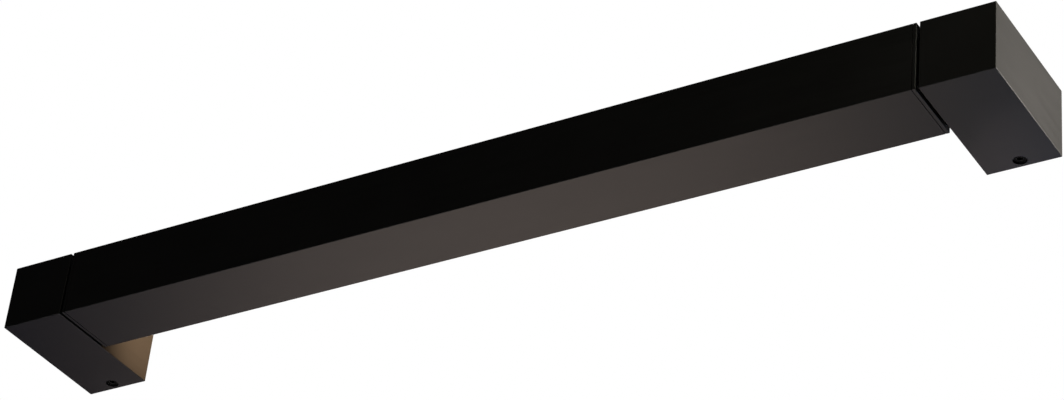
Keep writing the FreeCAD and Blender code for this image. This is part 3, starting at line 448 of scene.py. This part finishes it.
def add_softbox(name, place, target, size, power, colour=(1, 1, 1)):
    """A square soft light aimed at a point."""
    lamp = bpy.data.lights.new(name, "AREA")
    lamp.size = size
    lamp.energy = power
    lamp.color = colour
    aimed(bpy.data.objects.new(name, lamp), place, target)


def add_spot(name, place, target, size, power, colour, beam):
    """A small soft-edged spot aimed at a point. The beam is its full width in degrees."""
    lamp = bpy.data.lights.new(name, "SPOT")
    lamp.shadow_soft_size = size
    lamp.energy = power
    lamp.color = colour
    lamp.spot_size = math.radians(beam)
    lamp.spot_blend = 1.0
    aimed(bpy.data.objects.new(name, lamp), place, target)


def add_main_lights():
    """Soft light from the right, behind and below; the front, towards the camera's left, stays dark."""
    right_low, right_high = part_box("right_arm")
    outer_side = Vector((right_high.x, (right_low.y + right_high.y) / 2, 0.03))
    wall_end = Vector(((right_low.x + right_high.x) / 2, right_high.y, right_low.z))
    warm = (1.0, 0.94, 0.865)
    add_spot("side", outer_side + Vector((0.9, 0.55, 0.10)), outer_side, 0.02, 134, warm, beam=13)
    add_softbox("right", (0.70, -0.22, 0.10), outer_side, 0.15, 1.4, (1.0, 1.0, 0.78))
    add_softbox("under", (-0.55, 0.81, -0.75), CENTRE, 0.6, 1.80, (1.0, 0.83, 0.735))
    # From here a lamp is mirrored by an underside into the camera.
    mirrored = Vector((-0.47, 0.69, -0.55))
    add_spot("under_right", wall_end + mirrored, wall_end, 0.01, 1.15, (1.0, 0.82, 0.81), beam=4.5)
    add_softbox("under_wide", (0.2, 0.85, -0.5), outer_side, 0.3, 0.7, (0.50, 0.67, 1.0))
    add_softbox("under_left", (-1.0, 0.55, -0.8), CENTRE, 0.6, 0.14, (0.25, 0.40, 1.0))
    add_softbox("top", (-0.6, 0.9, 1.8), CENTRE, 1.3, 5)


def add_accents():
    """Narrow spots that each light one place."""
    # The warm light that a lit batten throws back from the wall onto the inner side of its left arm.
    left_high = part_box("left_arm")[1]
    inner_corner = Vector((left_high.x, left_high.y, 0.008))
    amber = (1.0, 0.65, 0.38)
    add_spot("wall_glow", inner_corner + Vector((0.72, 0.33, 0.6)), inner_corner, 0.008, 62, amber, beam=4.5)
    # A glint on the right end plate's front edge.
    plate_low, plate_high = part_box("right_end_cap")
    plate_edge = Vector((plate_high.x, plate_low.y, (plate_low.z + plate_high.z) / 2))
    white = (1.0, 0.98, 0.95)
    add_spot("edge_glint", plate_edge + Vector((0.69, -0.47, 0.55)), plate_edge, 0.02, 5, white, beam=3)
    # A weak light on the head of each retaining screw. It lifts the head a little; it makes no clear glint.
    screws_low, screws_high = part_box("arm_retaining_screws")
    head = (screws_high.y - screws_low.y) / 2
    for middle in (screws_low.x + head, screws_high.x - head):
        socket = Vector((middle, screws_low.y + head, screws_low.z))
        below = socket + Vector((-0.16, 0.17, -0.97))
        add_spot("socket_glint", below, socket, 0.004, 3, (1.0, 1.0, 1.0), beam=1.6)


def add_fills():
    """Light for the sides that the camera doesn't face."""
    add_softbox("back_fill", (-1.4, 1.6, 0.6), CENTRE, 1.0, 20)
    add_softbox("front_left_fill", (-0.9, -1.4, -1.1), CENTRE, 0.8, 4.5)
    add_softbox("front_right_fill", (0.9, -1.4, -1.1), CENTRE, 0.8, 1)
    add_softbox("below_fill", (0.0, 0.3, -1.8), CENTRE, 0.8, 2.0)
    add_softbox("below_right_fill", (0.9, 1.3, -0.9), CENTRE, 0.8, 2.0)


def add_world():
    """White where the camera looks past the batten, and a dim even light otherwise."""
    world = bpy.data.worlds.new("studio")
    bpy.context.scene.world = world
    world.use_nodes = True
    tree = world.node_tree
    dim = tree.nodes["Background"]
    bright = tree.nodes.new("ShaderNodeBackground")
    for background, strength in ((dim, 0.001), (bright, 1.0)):
        background.inputs["Color"].default_value = (1, 1, 1, 1)
        background.inputs["Strength"].default_value = strength
    choice = tree.nodes.new("ShaderNodeMixShader")
    ray = tree.nodes.new("ShaderNodeLightPath")
    tree.links.new(ray.outputs["Is Camera Ray"], choice.inputs[0])
    tree.links.new(dim.outputs[0], choice.inputs[1])
    tree.links.new(bright.outputs[0], choice.inputs[2])
    tree.links.new(choice.outputs[0], tree.nodes["World Output"].inputs["Surface"])


def add_floor():
    """Plain pale floor, far below, because the batten hangs on a wall and is seen from underneath.

    It lights nothing and shows in no reflection.
    """
    half = 40.0
    drop = 5.2
    mesh = bpy.data.meshes.new("floor")
    corners = [(-half, -half, -drop), (half, -half, -drop), (half, half, -drop), (-half, half, -drop)]
    mesh.from_pydata(corners, [], [(0, 1, 2, 3)])
    floor = bpy.data.objects.new("floor", mesh)
    bpy.context.scene.collection.objects.link(floor)
    surface = Surface("floor", (0.9, 0.9, 0.9))
    surface.roughness = 0.9
    surface.colour = surface.mix(surface.noise(3.0, 2.0), (0.88, 0.88, 0.88), (0.92, 0.92, 0.92))
    surface.feed(surface.shader, "Emission Color", (1, 1, 1, 1))
    surface.feed(surface.shader, "Emission Strength", 1.0)
    mesh.materials.append(surface.done())
    floor.visible_diffuse = False
    floor.visible_glossy = False


CHIP_LINE = sum(corner.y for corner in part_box("led_chips")) / 2

paint()
add_camera()
add_main_lights()
add_accents()
add_fills()
add_world()
add_floor()
bpy.context.scene.view_settings.view_transform = "Standard"
